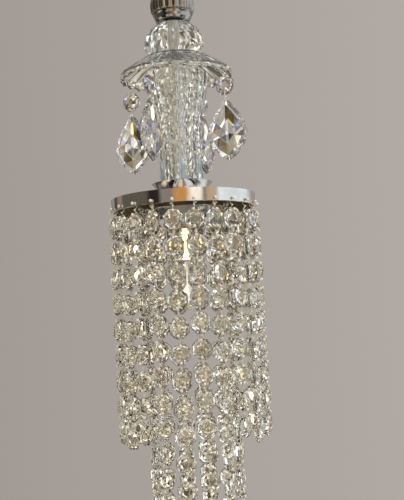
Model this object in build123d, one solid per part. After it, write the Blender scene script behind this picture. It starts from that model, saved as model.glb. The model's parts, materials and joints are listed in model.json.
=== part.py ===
from build123d import *
import os
from math import atan2, cos, radians, sin, tan

# A one-light crystal chandelier: a hanging loop, a fluted metal stem cup, a panelled glass
# ball, a domed glass dish with four large drops, a cut glass vase in a flared collar, and a
# round pan from whose band two rings of octagon strands hang about a candle lamp.
#
# Millimetres. +Z is up and the origin is the centre of the hanging eye, whose bore runs
# along Y. Azimuths are measured from +X towards +Y. The side shown in the photograph is -Y.

# ---------------------------------------------------------------- driving dimensions

# Hanging loop, with its boss and the side outlet for the supply leads
EYE_R = 11.0
LOOP_R = 16.0
LOOP_T = 5.0
BOSS_DROP = 30.0            # eye centre to the underside of the boss
BOSS_R = 8.5
BOSS_BORE_H = 14.0
OUTLET_UP = 10.0            # outlet axis above the underside of the boss
OUTLET_R = 3.6
BUSH_FLANGE_R = 4.8
BUSH_FLANGE_T = 1.2
BUSH_BORE_R = 2.5

# Threaded centre tube that carries the whole stack
TUBE_R = 5.0
TUBE_BORE_R = 3.8
TUBE_IN_BOSS = 5.5          # how far the tube reaches into the boss
TUBE_BELOW_NUT = 1.0
THREAD_GAP = 0.1            # radial, between the tube and what is screwed on it
TUBE_HOLE_GAP = 0.3         # radial, between the tube and what it only passes through

# Turned cap over the stem cup
CAP_H = 8.0
CAP_TOP_R = 9.5
CAP_R = 14.0
CAP_EDGE_H = 2.0

# Fluted stem cup
STEM_H = 53.0
STEM_FOOT_R = 15.7
STEM_CONE_R = 19.6
STEM_CONE_H = 8.5           # smooth cone under the groove
STEM_GROOVE_H = 1.5
STEM_GROOVE_D = 1.4
STEM_BELLY_R = 21.5
STEM_BELLY_UP = 13.0        # widest section above the foot
STEM_SHOULDER_R = 17.5
STEM_SHOULDER_UP = 32.0
STEM_NECK_R = 11.0
STEM_NECK_UP = 47.0
STEM_MOUTH_R = 13.0
STEM_WALL = 2.0
STEM_FLUTES = 20
STEM_FLUTE_DEPTH = 0.06     # share of the local radius

# Soft washers between glass and metal
WASHER_T = 1.5
WASHER_WIDE_R = 18.0
WASHER_SMALL_R = 10.0

# Panelled glass ball
BALL_H = 31.5
BALL_R = 29.0
BALL_BELLY_UP = 13.5
BALL_FOOT_R = 26.0
BALL_SHOULDER_R = 23.5
BALL_SHOULDER_UP = 24.0
BALL_TOP_R = 16.0
BALL_PANELS = 16

# Domed glass dish
DISH_R = 54.0
DISH_TOP_R = 30.5
DISH_T = 4.0
DISH_DEPTH = 22.0           # top plane to the lower edge of the lip
DISH_LIP_H = 7.5
DISH_SCALLOPS = 24
SCALLOP_R = 6.0
SCALLOP_CUT = 1.8

# Cut glass vase, and the sleeve inside it that holds up the dish
SLEEVE_L = 120.0
SLEEVE_R = 7.0
VASE_R = 20.5
VASE_MOUTH_R = 31.0
VASE_MOUTH_DROP = 12.5      # mouth under the dish's lower face
VASE_COLUMN_H = 58.0        # foot to the start of the flare
VASE_FLARE_R = 26.2         # outer radius halfway up the flare
VASE_WALL = 3.5
VASE_FLOOR_T = 6.0

# Flared collar that holds the foot of the vase
COLLAR_H = 14.0
COLLAR_FOOT_R = 23.0
COLLAR_RIM_R = 29.0
COLLAR_WALL = 1.6
COLLAR_FLOOR_T = 2.0

# Round pan: a closed plate with a band, and the inner hanging ring under it
BAND_R = 68.5
BAND_T = 2.0
BAND_H = 12.0
PLATE_T = 1.5
INNER_R = 40.0              # middle of the inner ring's band
FLANGE_T = 1.5
FLANGE_IN_R = 30.0
HOLE_UP = 2.4               # hook holes above the lower edge of either band
HOOK_HOLE_R = 1.0
SCREWS = 4
SCREW_R = 1.5
SCREW_GAP = 0.15
SCREW_HEAD_R = 2.8
SCREW_HEAD_H = 1.8
SCREW_SOCKET_R = 1.2
SCREW_TIP = 0.8             # shank left above the plate

# Lampholder
NUT_R = 8.0                 # across corners, halved
NUT_H = 3.0
HOLDER_R = 13.5
HOLDER_WALL = 1.5
HOLDER_TOP_T = 2.0
HOLDER_H = 27.0
INSERT_GAP = 0.2
SOCKET_DEPTH = 13.5
SOCKET_ROOF = 2.5
SOCKET_GAP = 0.3
CONTACT_T = 0.5
CONTACT_R = 3.0
CONTACT_UP = 0.8            # contacts' height above the insert
STRIP_W = 3.0
STRIP_L = 9.0

# Candle lamp
LAMP_CAP_R = 6.9
LAMP_CAP_OUT = 1.5          # cap's length below the holder
LAMP_TIP_R = 2.4
LAMP_TIP_H = 1.0
LAMP_R = 17.5
LAMP_L = 77.0               # glass
LAMP_WALL = 1.0
FOOT_L = 4.0                # glass foot inside the lamp
FOOT_R = 2.2
FILAMENT_R = 0.9
FILAMENT_L = 24.0
FILAMENTS = 4
FILAMENT_RING_R = 1.8
ARM_T = 1.0

# Supply leads inside the tube
LEAD_R = 1.1
LEAD_SIDE = 1.15            # lead's middle beside the tube's axis
LEAD_BEND_R = 4.0
LEAD_TIGHT_R = 1.3
LEAD_RUN_UP = 1.6           # sideways run above the contact's end

# Octagon beads, across flats, and their headed pins of square wire
BEAD = 18.0
BEAD_T = 8.0
BEAD_GIRDLE_T = 1.2
BEAD_TABLE = 8.2            # across flats
BEAD_HOLE_IN = 1.4          # hole centre inside the edge
BEAD_HOLE_R = 0.75
WIRE = 0.7
PIN_GAP = 0.4               # head and leg stand this far off the glass
PIN_KNEE = 1.4
PIN_HEAD_R = 1.1
PIN_HEAD_L = 1.6
SWIVEL_R = 1.0
SWIVEL_L = 1.8
LINK_L = 8.6                # hole to hole, between two beads
LINK_SPREAD = 0.5           # a strand's links are up to this much longer or shorter
TURN_STEP = 10.0            # beads hang turned by multiples of this

# Hooks through the bands and the dish's lip
HOOK_GAP = 1.8              # wire's middle behind the wall
HOOK_KNEE = 1.2             # how far the hook reaches below the edge before it turns
HOOK_RUN = 2.4              # from there down to the swivel
HOOK_HEAD_R = 1.5
HOOK_HEAD_L = 2.0
HOOK_HEAD_OUT = 0.8         # head's clearance off the wall

OUTER_STRANDS = 22
OUTER_BEADS = 9
INNER_STRANDS = 12
INNER_BEADS = 13

# Four drops from the dish's lip: an octagon, then a scalloped pendalogue
DROPS = 4
DROP_AZIMUTH = 61.0
DISH_HOLE_UP = 3.0
DISH_HOLE_R = 1.4
DROP_HOOK_RUN = 1.2
DROP_LINK_L = 6.6           # hole to hole, octagon to pendalogue
PENDALOGUE_H = 60.0
PENDALOGUE_W = 40.0
PENDALOGUE_T = 9.0
PENDALOGUE_EDGE_T = 2.0
PENDALOGUE_TABLE = 0.42     # share of the outline that is flat
PENDALOGUE_LOBES = 6        # on each side
LOBE_DEPTH = 1.6
PENDALOGUE_HOLE_IN = 2.4

# ---------------------------------------------------------------- levels and shared sizes

z_boss = -BOSS_DROP
z_cap = z_boss - CAP_H
z_stem = z_cap - STEM_H
z_ball_top = z_stem - WASHER_T
z_ball = z_ball_top - BALL_H
z_dish = z_ball - WASHER_T                       # top plane of the dish
z_dish_under = z_dish - DISH_T
z_lip = z_dish - DISH_DEPTH
z_lip_top = z_lip + DISH_LIP_H
z_dish_hole = z_lip + DISH_HOLE_UP
z_sleeve_top = z_dish_under - WASHER_T
z_sleeve = z_sleeve_top - SLEEVE_L
z_vase_floor = z_sleeve - WASHER_T
z_vase = z_vase_floor - VASE_FLOOR_T
z_mouth = z_dish_under - VASE_MOUTH_DROP
z_collar_floor = z_vase - WASHER_T
z_collar = z_collar_floor - COLLAR_FLOOR_T       # also the top of the pan
z_plate = z_collar - PLATE_T
z_flange = z_plate - FLANGE_T
z_band = z_collar - BAND_H
z_hole = z_band + HOLE_UP
z_nut_top = z_plate - HOLDER_TOP_T
z_nut = z_nut_top - NUT_H
z_tube = z_nut - TUBE_BELOW_NUT
z_holder = z_plate - HOLDER_H
z_socket_top = z_holder + SOCKET_DEPTH
z_insert_top = z_socket_top + SOCKET_ROOF
z_contact_end = z_insert_top + CONTACT_UP
z_lamp = z_holder - LAMP_CAP_OUT                 # top of the lamp's glass

tube_hole_r = TUBE_R + TUBE_HOLE_GAP
thread_r = TUBE_R + THREAD_GAP
band_mid_r = BAND_R - BAND_T / 2
lip_mid_r = DISH_R - DISH_T / 2
socket_r = LAMP_CAP_R + SOCKET_GAP
strip_y = socket_r - SOCKET_GAP + THREAD_GAP + CONTACT_T / 2
screw_ring_r = (FLANGE_IN_R + INNER_R - BAND_T / 2) / 2

bead_hole = BEAD / 2 - BEAD_HOLE_IN              # hole centre from the bead's middle
bead_slope = (BEAD_T - BEAD_GIRDLE_T) / (BEAD - BEAD_TABLE)
bead_half = BEAD_GIRDLE_T / 2 + bead_slope * BEAD_HOLE_IN
pin_front = bead_half + PIN_GAP + PIN_HEAD_L / 2
pin_back = bead_half + PIN_GAP + WIRE / 2


# ---------------------------------------------------------------- shared shapes

def rod(z_low, z_high, radius):
    return Pos(0, 0, (z_low + z_high) / 2) * Cylinder(radius, z_high - z_low)


def tube(z_low, z_high, outer, bore):
    return rod(z_low, z_high, outer) - rod(z_low - 1, z_high + 1, bore)


def rod_along_x(x_low, x_high, z, radius):
    return Pos((x_low + x_high) / 2, 0, z) * Rot(0, 90, 0) * Cylinder(radius, x_high - x_low)


def turned(edges):
    """Turns a closed outline, drawn in the XZ plane, about Z."""
    return revolve(make_face(edges), Axis.Z)


def turned_polygon(*points):
    return turned(Polyline(*[(r, 0, z) for r, z in points], close=True))


def outline(*points):
    """An open run of straight edges through (radius, level) points."""
    return Polyline(*[(r, 0, z) for r, z in points])


def flare(r_low, z_low, r_high, z_high):
    """An arc that leaves the lower point upright and leans out to the upper one."""
    return TangentArc((r_low, 0, z_low), (r_high, 0, z_high), tangent=(0, 0, 1))


def tulip(r_low, z_low, r_mid, r_high, z_high):
    """A curve that is upright at both ends and passes r_mid halfway up."""
    points = [(r_low, 0, z_low), (r_mid, 0, (z_low + z_high) / 2), (r_high, 0, z_high)]
    return Spline(*points, tangents=[(0, 0, 1), (0, 0, 1)])


def star_section(z, radius, count, depth=0.0):
    """A level outline with count ridges, whose valleys lie in by depth, a share of radius."""
    corners = []
    for i in range(count):
        ridge = radians(360 * i / count)
        corners.append((radius * cos(ridge), radius * sin(ridge)))
        if depth:
            valley = radians(360 * (i + 0.5) / count)
            low = radius * (1 - depth)
            corners.append((low * cos(valley), low * sin(valley)))
    return Pos(0, 0, z) * make_face(Polyline(*corners, close=True))


def panelled(levels, count, depth=0.0):
    """Flat panels or flutes between (level, radius) sections."""
    return loft([star_section(z, r, count, depth) for z, r in levels], ruled=True)


def azimuth(i, count, first):
    return first + 360 * i / count


def write(name, *shapes, curved=True):
    """One file per sub-part. Flat-faced ones are written without curves on their surfaces."""
    solids = [solid for shape in shapes for solid in shape.solids()]
    whole = solids[0] if len(solids) == 1 else Compound(solids)
    export_step(whole, f"parts/{name}.step", write_pcurves=curved)


# ---------------------------------------------------------------- loop, tube and stem

def hanging_loop():
    """A flat-sided ring on a round boss. The tube screws in below, the leads leave at +X."""
    boss_top = -(EYE_R + LOOP_R) / 2
    body = Rot(90, 0, 0) * Cylinder(LOOP_R, LOOP_T) + rod(z_boss, boss_top, BOSS_R)
    body -= Rot(90, 0, 0) * Cylinder(EYE_R, 4 * BOSS_R)
    body -= rod(z_boss - 1, z_boss + BOSS_BORE_H, thread_r)
    return body - rod_along_x(0, 2 * BOSS_R, z_boss + OUTLET_UP, OUTLET_R)


def cable_bush():
    """A flanged insulating bush in the loop's side outlet."""
    z = z_boss + OUTLET_UP
    seat = BOSS_R + THREAD_GAP
    barrel = rod_along_x(TUBE_R, seat, z, OUTLET_R - THREAD_GAP)
    flange = rod_along_x(seat, seat + BUSH_FLANGE_T, z, BUSH_FLANGE_R)
    return barrel + flange - rod_along_x(0, 2 * BOSS_R, z, BUSH_BORE_R)


def top_cap():
    side = outline((tube_hole_r, z_boss), (tube_hole_r, z_cap), (CAP_R, z_cap),
                   (CAP_R, z_cap + CAP_EDGE_H))
    dome = TangentArc((CAP_TOP_R, 0, z_boss), (CAP_R, 0, z_cap + CAP_EDGE_H), tangent=(1, 0, 0))
    lid = outline((CAP_TOP_R, z_boss), (tube_hole_r, z_boss))
    return turned([side, dome, lid])


def stem_cup():
    """A hollow cup: a smooth cone, a groove, then flutes up to a neck and a small mouth."""
    z_cone = z_stem + STEM_CONE_H
    z_flutes = z_cone + STEM_GROOVE_H
    z_neck = z_stem + STEM_NECK_UP
    cone = turned_polygon((0, z_stem), (STEM_FOOT_R, z_stem), (STEM_CONE_R, z_cone), (0, z_cone))
    groove = rod(z_cone, z_flutes, STEM_CONE_R - STEM_GROOVE_D)
    flutes = panelled(
        [(z_flutes, (STEM_CONE_R + STEM_BELLY_R) / 2), (z_stem + STEM_BELLY_UP, STEM_BELLY_R),
         (z_stem + STEM_SHOULDER_UP, STEM_SHOULDER_R), (z_neck, STEM_NECK_R), (z_cap, STEM_MOUTH_R)],
        STEM_FLUTES, STEM_FLUTE_DEPTH)
    thick = STEM_WALL + STEM_GROOVE_D + STEM_FLUTE_DEPTH * STEM_BELLY_R
    hollow = turned_polygon(
        (0, z_stem + STEM_WALL), (STEM_FOOT_R - thick, z_stem + STEM_WALL),
        (STEM_CONE_R - thick, z_cone), (STEM_BELLY_R - thick, z_stem + STEM_BELLY_UP),
        (STEM_SHOULDER_R - thick, z_stem + STEM_SHOULDER_UP), (STEM_NECK_R - thick, z_neck),
        (0, z_neck))
    return cone + groove + flutes - hollow - rod(z_stem - 1, z_cap + 1, tube_hole_r)


def centre_tube():
    return tube(z_tube, z_boss + TUBE_IN_BOSS, TUBE_R, TUBE_BORE_R)


def seat_washers():
    """Soft rings under and over each piece of glass."""
    spans = [(z_stem, WASHER_SMALL_R), (z_ball, WASHER_WIDE_R), (z_dish_under, WASHER_SMALL_R),
             (z_sleeve, WASHER_SMALL_R), (z_vase, WASHER_WIDE_R)]
    return [tube(top - WASHER_T, top, outer, tube_hole_r) for top, outer in spans]


# ---------------------------------------------------------------- glass on the stem

def glass_ball():
    levels = [(z_ball, BALL_FOOT_R), (z_ball + BALL_BELLY_UP / 2, (BALL_FOOT_R + 2 * BALL_R) / 3),
              (z_ball + BALL_BELLY_UP, BALL_R), (z_ball + BALL_SHOULDER_UP, BALL_SHOULDER_R),
              (z_ball_top, BALL_TOP_R)]
    return panelled(levels, BALL_PANELS) - rod(z_ball - 1, z_ball_top + 1, tube_hole_r)


def glass_dish():
    """A dome with a flat top and an upright lip, scalloped below and drilled for the drops."""
    lean = atan2(z_dish - z_lip_top, DISH_R - DISH_TOP_R)
    inner_top_r = DISH_TOP_R - DISH_T * tan(lean / 2)
    inner_lip_z = z_lip_top - DISH_T * tan((radians(90) - lean) / 2)
    body = turned_polygon(
        (tube_hole_r, z_dish), (DISH_TOP_R, z_dish), (DISH_R, z_lip_top), (DISH_R, z_lip),
        (DISH_R - DISH_T, z_lip), (DISH_R - DISH_T, inner_lip_z), (inner_top_r, z_dish_under),
        (tube_hole_r, z_dish_under))
    notch = rod_along_x(lip_mid_r - DISH_T, lip_mid_r + DISH_T,
                        z_lip + SCALLOP_CUT - SCALLOP_R, SCALLOP_R)
    for i in range(DISH_SCALLOPS):
        body -= Rot(0, 0, azimuth(i + 0.5, DISH_SCALLOPS, DROP_AZIMUTH)) * notch
    hole = rod_along_x(lip_mid_r - DISH_T, lip_mid_r + DISH_T, z_dish_hole, DISH_HOLE_R)
    for i in range(DROPS):
        body -= Rot(0, 0, azimuth(i, DROPS, DROP_AZIMUTH)) * hole
    return body


def dish_sleeve():
    return tube(z_sleeve, z_sleeve_top, SLEEVE_R, tube_hole_r)


def glass_vase():
    """A column with a thick floor, opening like a tulip to a wide mouth under the dish."""
    z_flare = z_vase + VASE_COLUMN_H
    bore = VASE_R - VASE_WALL
    rim = VASE_MOUTH_R - VASE_WALL
    foot = outline((bore, z_flare), (bore, z_vase_floor), (tube_hole_r, z_vase_floor),
                   (tube_hole_r, z_vase), (VASE_R, z_vase), (VASE_R, z_flare))
    lip = outline((VASE_MOUTH_R, z_mouth), (rim, z_mouth))
    outside = tulip(VASE_R, z_flare, VASE_FLARE_R, VASE_MOUTH_R, z_mouth)
    inside = tulip(bore, z_flare, VASE_FLARE_R - VASE_WALL, rim, z_mouth)
    return turned([foot, outside, lip, inside])


def vase_collar():
    """A spun metal cup on the pan, flaring round the foot of the vase."""
    rim_z = z_collar + COLLAR_H
    inner_foot = COLLAR_FOOT_R - COLLAR_WALL
    inner_rim = COLLAR_RIM_R - COLLAR_WALL
    floor = outline((inner_foot, z_collar_floor), (tube_hole_r, z_collar_floor),
                    (tube_hole_r, z_collar), (COLLAR_FOOT_R, z_collar))
    rim = outline((COLLAR_RIM_R, rim_z), (inner_rim, rim_z))
    outside = flare(COLLAR_FOOT_R, z_collar, COLLAR_RIM_R, rim_z)
    inside = flare(inner_foot, z_collar_floor, inner_rim, rim_z)
    return turned([floor, outside, rim, inside])


# ---------------------------------------------------------------- pan and inner ring

def screw_places():
    return [Rot(0, 0, azimuth(i + 0.5, SCREWS, 0)) * Pos(screw_ring_r, 0, 0) for i in range(SCREWS)]


def strand_azimuth(i, count):
    """Strands stand evenly about the -Y direction, none of them on it."""
    return azimuth(i + 0.5, count, 270)


def with_hook_holes(body, mid_r, count):
    hole = rod_along_x(mid_r - BAND_T, mid_r + BAND_T, z_hole, HOOK_HOLE_R)
    for i in range(count):
        body -= Rot(0, 0, strand_azimuth(i, count)) * hole
    return body


def with_screw_holes(body):
    for place in screw_places():
        body -= place * rod(z_flange - 1, z_collar + 1, SCREW_R + SCREW_GAP)
    return body


def ring_pan():
    body = turned_polygon(
        (tube_hole_r, z_collar), (BAND_R, z_collar), (BAND_R, z_band), (BAND_R - BAND_T, z_band),
        (BAND_R - BAND_T, z_plate), (tube_hole_r, z_plate))
    return with_hook_holes(with_screw_holes(body), band_mid_r, OUTER_STRANDS)


def inner_ring():
    outer = INNER_R + BAND_T / 2
    inner = INNER_R - BAND_T / 2
    body = turned_polygon(
        (FLANGE_IN_R, z_plate), (outer, z_plate), (outer, z_band), (inner, z_band),
        (inner, z_flange), (FLANGE_IN_R, z_flange))
    return with_hook_holes(with_screw_holes(body), INNER_R, INNER_STRANDS)


def ring_screws():
    head = rod(z_flange - SCREW_HEAD_H, z_flange, SCREW_HEAD_R)
    shank = rod(z_flange, z_collar + SCREW_TIP, SCREW_R)
    drive = rod(z_flange - 2 * SCREW_HEAD_H, z_flange - SCREW_HEAD_H / 2, SCREW_SOCKET_R)
    return [place * (head + shank - drive) for place in screw_places()]


# ---------------------------------------------------------------- lampholder and lamp

def tube_nut():
    """A hexagon nut inside the lampholder that draws the whole stack together."""
    hexagon = extrude(star_section(z_nut, NUT_R, 6), NUT_H)
    return hexagon - rod(z_nut - 1, z_nut_top + 1, thread_r)


def holder_shell():
    inner = HOLDER_R - HOLDER_WALL
    return turned_polygon(
        (tube_hole_r, z_plate), (HOLDER_R, z_plate), (HOLDER_R, z_holder), (inner, z_holder),
        (inner, z_nut_top), (tube_hole_r, z_nut_top))


def holder_insert():
    body = rod(z_holder, z_insert_top, HOLDER_R - HOLDER_WALL - INSERT_GAP)
    body -= rod(z_holder - 1, z_socket_top, socket_r)
    body -= Pos(0, LEAD_SIDE, 0) * rod(z_holder, z_insert_top + 1, LEAD_R + THREAD_GAP)
    slot_l = STRIP_L + SOCKET_ROOF + THREAD_GAP
    slot = Box(STRIP_W + 2 * THREAD_GAP, CONTACT_T + 2 * SOCKET_GAP, slot_l)
    return body - Pos(0, -strip_y, z_insert_top - slot_l / 2) * slot


def holder_contacts():
    """A centre contact with its post, and a side strip. A lead ends on each."""
    disc = rod(z_socket_top - CONTACT_T, z_socket_top, CONTACT_R)
    post = Pos(0, LEAD_SIDE, 0) * rod(z_socket_top, z_contact_end, LEAD_R)
    strip_l = STRIP_L + SOCKET_ROOF + CONTACT_UP
    strip = Pos(0, -strip_y, z_contact_end - strip_l / 2) * Box(STRIP_W, CONTACT_T, strip_l)
    return [disc + post, strip]


def lamp_cap():
    z_tip = z_socket_top - CONTACT_T
    cap = rod(z_lamp, z_tip - LAMP_TIP_H, LAMP_CAP_R)
    return cap + rod(z_tip - LAMP_TIP_H, z_tip, LAMP_TIP_R)


def candle_shape(shrink):
    """The lamp's candle outline, drawn in by shrink, as a solid."""
    shape = [(0.37, 0), (0.45, 0.07), (0.80, 0.2), (1.0, 0.41), (0.93, 0.58), (0.66, 0.77),
             (0.34, 0.91)]
    points = [(LAMP_R * r - shrink, 0, z_lamp - LAMP_L * down) for r, down in shape]
    tip = (0, 0, z_lamp - LAMP_L + shrink)
    side = Spline(*points, tip, tangents=[(0, 0, -1), (-1, 0, 0)])
    return turned([outline((0, z_lamp), (points[0][0], z_lamp)), side,
                   Line(tip, (0, 0, z_lamp))])


def lamp_glass():
    return candle_shape(0) - candle_shape(LAMP_WALL)


def lamp_filament():
    """A glass foot with two arms, and upright filament sticks between them."""
    z_arm = z_lamp - FOOT_L
    z_low = z_arm - FILAMENT_L
    arm_r = FILAMENT_RING_R + 2 * FILAMENT_R
    body = rod(z_arm, z_lamp, FOOT_R)
    for i in range(FILAMENTS):
        stick = Pos(FILAMENT_RING_R, 0, 0) * rod(z_low - ARM_T / 2, z_arm + ARM_T / 2, FILAMENT_R)
        body += Rot(0, 0, azimuth(i, FILAMENTS, 45)) * stick
    return body + rod(z_arm, z_arm + ARM_T, arm_r) + rod(z_low - ARM_T, z_low, arm_r)


def supply_leads():
    """Two insulated leads from the lampholder, up the tube, to the mouth of the bush."""
    z_out = z_boss + OUTLET_UP
    x_out = BOSS_R + THREAD_GAP + BUSH_FLANGE_T / 2
    z_run = z_contact_end + LEAD_RUN_UP
    straight = FilletPolyline((0, LEAD_SIDE, z_contact_end), (0, LEAD_SIDE, z_out),
                              (x_out, LEAD_SIDE, z_out), radius=LEAD_BEND_R)
    stepped = FilletPolyline(
        (0, -strip_y, z_contact_end), (0, -strip_y, z_run), (0, -LEAD_SIDE, z_run),
        (0, -LEAD_SIDE, z_out), (x_out, -LEAD_SIDE, z_out),
        radius=[LEAD_TIGHT_R, LEAD_TIGHT_R, LEAD_BEND_R])
    return [sweep(Plane(path @ 0, z_dir=path % 0) * Circle(LEAD_R), path=path)
            for path in (straight, stepped)]


# ---------------------------------------------------------------- beads, pins and links

def hexagon_rod(length, radius):
    """A six-sided rod along Z, centred on the origin."""
    return extrude(star_section(-length / 2, radius, 6), length)


def along_x(shape, x=0.0, z=0.0):
    return Pos(x, 0, z) * Rot(0, 90, 0) * shape


def cut_bead():
    """A flat octagon in the YZ plane, bevelled to a table on both faces, with two holes."""
    half = [(-BEAD_T / 2, BEAD_TABLE), (-BEAD_GIRDLE_T / 2, BEAD), (BEAD_GIRDLE_T / 2, BEAD),
            (BEAD_T / 2, BEAD_TABLE)]
    corner = 1 / cos(radians(22.5))
    sections = [Rot(0, 0, 22.5) * star_section(level, flats / 2 * corner, 8)
                for level, flats in half]
    body = along_x(loft(sections, ruled=True))
    for z in (-bead_hole, bead_hole):
        body -= along_x(hexagon_rod(2 * BEAD_T, BEAD_HOLE_R), z=z)
    return body


def ribbon(points, width):
    """Corners of a strip of even width along straight runs, mitred where they meet."""
    runs = [(b - a).normalized() for a, b in zip(points, points[1:])]
    left = []
    right = []
    for i, point in enumerate(points):
        before = runs[max(i - 1, 0)].rotate(Axis.Y, 90)
        after = runs[min(i, len(runs) - 1)].rotate(Axis.Y, 90)
        side = (before + after) * (width / 2 / (1 + before.dot(after)))
        left.append(point + side)
        right.append(point - side)
    return left + right[::-1]


def pin(front, back, knee, drop, head):
    """A square wire with a head at +X, through a hole at the origin and down to the axis."""
    path = [Vector(front, 0, 0), Vector(-back, 0, 0), Vector(-back, 0, -knee), Vector(0, 0, -drop)]
    strip = make_face(Polyline(*ribbon(path, WIRE), close=True))
    return extrude(strip, WIRE / 2, both=True) + along_x(head, front)


def joined(upper, drop, lower, lower_drop, turn):
    """Two pins that meet in a swivel. The lower one points up and is turned."""
    swivel = Pos(0, 0, -drop) * hexagon_rod(SWIVEL_L, SWIVEL_R)
    return upper + swivel + Pos(0, 0, -drop - lower_drop) * Rot(0, 0, turn) * Rot(180, 0, 0) * lower


def bead_pin(length):
    return pin(pin_front, pin_back, PIN_KNEE, length / 2, hexagon_rod(PIN_HEAD_L, PIN_HEAD_R))


def wall_hook(wall, hole_up, run):
    """The hook through a wall, and how far its swivel hangs below the hole."""
    knee = hole_up + HOOK_KNEE
    front = wall / 2 + HOOK_HEAD_OUT + HOOK_HEAD_L / 2
    head = hexagon_rod(HOOK_HEAD_L, HOOK_HEAD_R)
    return pin(front, wall / 2 + HOOK_GAP, knee, knee + run, head), knee + run


class LinkBox:
    """Makes each kind of link once and hands out copies."""

    def __init__(self, upper, drop, lower_length):
        self.upper = upper
        self.drop = drop
        self.lower = bead_pin(lower_length)
        self.lower_drop = lower_length / 2
        self.made = {}

    def link(self, turn):
        if turn not in self.made:
            self.made[turn] = joined(self.upper, self.drop, self.lower, self.lower_drop, turn)
        return self.made[turn]


bead = cut_bead()
band_hook, band_hook_drop = wall_hook(BAND_T, HOLE_UP, HOOK_RUN)
link_boxes = {}


def boxes_of(length):
    """The band's links and the beads' links with pins of this length."""
    if length not in link_boxes:
        link_boxes[length] = (LinkBox(band_hook, band_hook_drop, length),
                              LinkBox(bead_pin(length), length / 2, length))
    return link_boxes[length]


def link_length(strand):
    """Hand-bent links differ a little from strand to strand."""
    return LINK_L + LINK_SPREAD * ((3 * strand) % 5 - 2) / 2


def bead_turn(strand, place):
    """The beads hang nearly flat to the ring, each turned by its own multiple of a step."""
    return TURN_STEP * ((3 * strand + 2 * place + strand * place) % 5 - 2)


def strand(index, beads):
    """One strand about its hinge: a hook, then beads and links down to a last bead."""
    turns = [bead_turn(index, k) for k in range(beads)]
    length = link_length(index)
    band_links, bead_links = boxes_of(length)
    pieces = [band_links.link(turns[0])]
    z = -band_hook_drop - length / 2 - bead_hole
    for k, turn in enumerate(turns):
        pieces.append(Pos(0, 0, z) * Rot(0, 0, turn) * bead)
        if k + 1 < beads:
            link = bead_links.link(turns[k + 1] - turn)
            pieces.append(Pos(0, 0, z - bead_hole) * Rot(0, 0, turn) * link)
        z -= 2 * bead_hole + length
    return pieces


def hung(pieces, az, radius, z):
    place = Rot(0, 0, az) * Pos(radius, 0, z)
    return [place * piece for piece in pieces]


# ---------------------------------------------------------------- drops

def pendalogue_outline():
    """A tall drop with a pointed head and lobed sides, as corners from its top hole down."""
    steps = 2 * PENDALOGUE_LOBES
    side = []
    for i in range(1, steps):
        down = i / steps
        swell = sin(radians(180 * down ** 1.25)) ** 0.8
        lobe = LOBE_DEPTH if i % 2 == 0 else 0
        side.append((PENDALOGUE_W / 2 * swell - lobe, PENDALOGUE_HOLE_IN - PENDALOGUE_H * down))
    top = (PENDALOGUE_HOLE_IN, PENDALOGUE_HOLE_IN)
    tip = (0, PENDALOGUE_HOLE_IN - PENDALOGUE_H)
    right = [top] + side + [tip]
    left = [(-x, y) for x, y in reversed([top] + side)]
    return right + left


def pendalogue():
    """A flat drop in the YZ plane, bevelled to a table on both faces. Its hole is at the origin."""
    middle = PENDALOGUE_HOLE_IN - 0.55 * PENDALOGUE_H

    def section(level, share):
        corners = [(x * share, middle + (y - middle) * share) for x, y in pendalogue_outline()]
        face = make_face(Polyline(*corners, close=True))
        return Rot(0, 90, 0) * Rot(0, 0, 90) * Pos(0, 0, level) * face

    table = PENDALOGUE_T / 2
    edge = PENDALOGUE_EDGE_T / 2
    body = loft([section(-table, PENDALOGUE_TABLE), section(-edge, 1), section(edge, 1),
                 section(table, PENDALOGUE_TABLE)], ruled=True)
    return body - along_x(hexagon_rod(2 * PENDALOGUE_T, BEAD_HOLE_R))


def drop():
    """One drop about its hinge in the dish's lip. Its flat faces look along the lip."""
    hook, hook_drop = wall_hook(DISH_T, DISH_HOLE_UP, DROP_HOOK_RUN)
    first = LinkBox(hook, hook_drop, DROP_LINK_L).link(90)
    second = LinkBox(bead_pin(DROP_LINK_L), DROP_LINK_L / 2, DROP_LINK_L).link(0)
    z_upper = -hook_drop - DROP_LINK_L / 2
    z_lower = z_upper - 2 * bead_hole
    flat = Rot(0, 0, 90)
    return [first, Pos(0, 0, z_upper - bead_hole) * flat * bead,
            Pos(0, 0, z_lower) * flat * second,
            Pos(0, 0, z_lower - DROP_LINK_L) * flat * pendalogue()]


# ---------------------------------------------------------------- files

def main():
    os.makedirs("parts", exist_ok=True)
    write("hanging_loop", hanging_loop())
    write("cable_bush", cable_bush())
    write("top_cap", top_cap())
    write("stem_cup", stem_cup())
    write("centre_tube", centre_tube())
    write("seat_washers", *seat_washers())
    write("glass_ball", glass_ball())
    write("glass_dish", glass_dish())
    write("dish_sleeve", dish_sleeve())
    write("glass_vase", glass_vase())
    write("vase_collar", vase_collar())
    write("ring_pan", ring_pan())
    write("inner_ring", inner_ring())
    write("ring_screws", *ring_screws())
    write("tube_nut", tube_nut())
    write("holder_shell", holder_shell())
    write("holder_insert", holder_insert())
    write("holder_contacts", *holder_contacts())
    write("lamp_cap", lamp_cap())
    write("lamp_glass", lamp_glass())
    write("lamp_filament", lamp_filament())
    write("supply_leads", *supply_leads())
    for i in range(OUTER_STRANDS):
        az = strand_azimuth(i, OUTER_STRANDS)
        pieces = strand(i, OUTER_BEADS)
        write(f"outer_strand_{i + 1:02d}", *hung(pieces, az, band_mid_r, z_hole), curved=False)
    for i in range(INNER_STRANDS):
        az = strand_azimuth(i, INNER_STRANDS)
        pieces = strand(i + OUTER_STRANDS, INNER_BEADS)
        write(f"inner_strand_{i + 1:02d}", *hung(pieces, az, INNER_R, z_hole), curved=False)
    for i in range(DROPS):
        az = azimuth(i, DROPS, DROP_AZIMUTH)
        write(f"drop_{i + 1}", *hung(drop(), az, lip_mid_r, z_dish_hole), curved=False)


main()
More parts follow.
